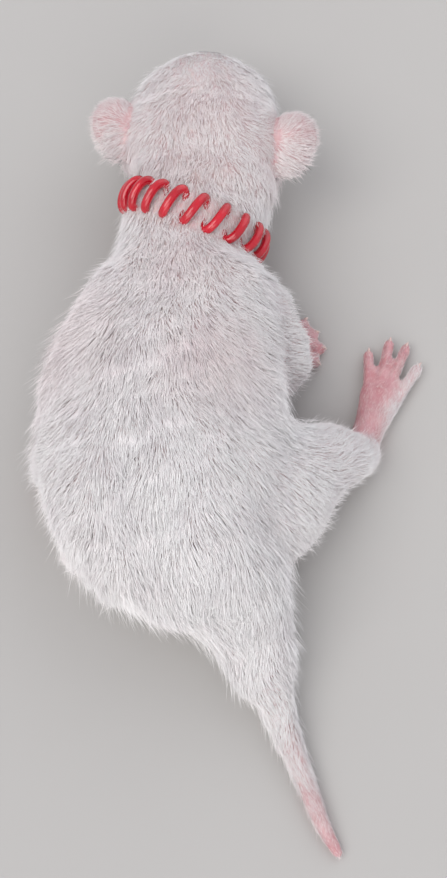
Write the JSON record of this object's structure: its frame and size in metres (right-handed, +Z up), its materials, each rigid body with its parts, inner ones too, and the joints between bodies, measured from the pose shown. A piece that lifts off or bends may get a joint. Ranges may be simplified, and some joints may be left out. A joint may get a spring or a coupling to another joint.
{
  "type": "newborn kitten model",
  "caption": "Still life-size kitten lying on its belly, one hind leg thrown out to the side, tail straight behind, with a spiral coil collar round its neck.",
  "frame": {"origin": "the middle of the whole footprint, on the floor that the kitten lies on", "axes": "+Y toward the nose, +X toward the kitten's right side, +Z up"},
  "size_m": [0.0778, 0.169, 0.0353],
  "materials": {
    "coat": "short soft white fur with pink skin faintly showing",
    "bare_skin": "thin pink skin with sparse white down",
    "collar_cord": "glossy red coil cord"
  },
  "bodies": {
    "root": {"head": "coat", "ear_left": "bare_skin", "ear_right": "bare_skin", "neck": "coat", "collar": "collar_cord", "torso": "coat", "tail": "coat", "foreleg_left": "coat", "foreleg_right": "coat", "forepaw_left": "bare_skin", "forepaw_right": "bare_skin", "hind_leg_left": "coat", "hind_leg_right": "coat", "hind_foot_left": "bare_skin", "hind_foot_right": "bare_skin"}
  },
  "joints": []
}
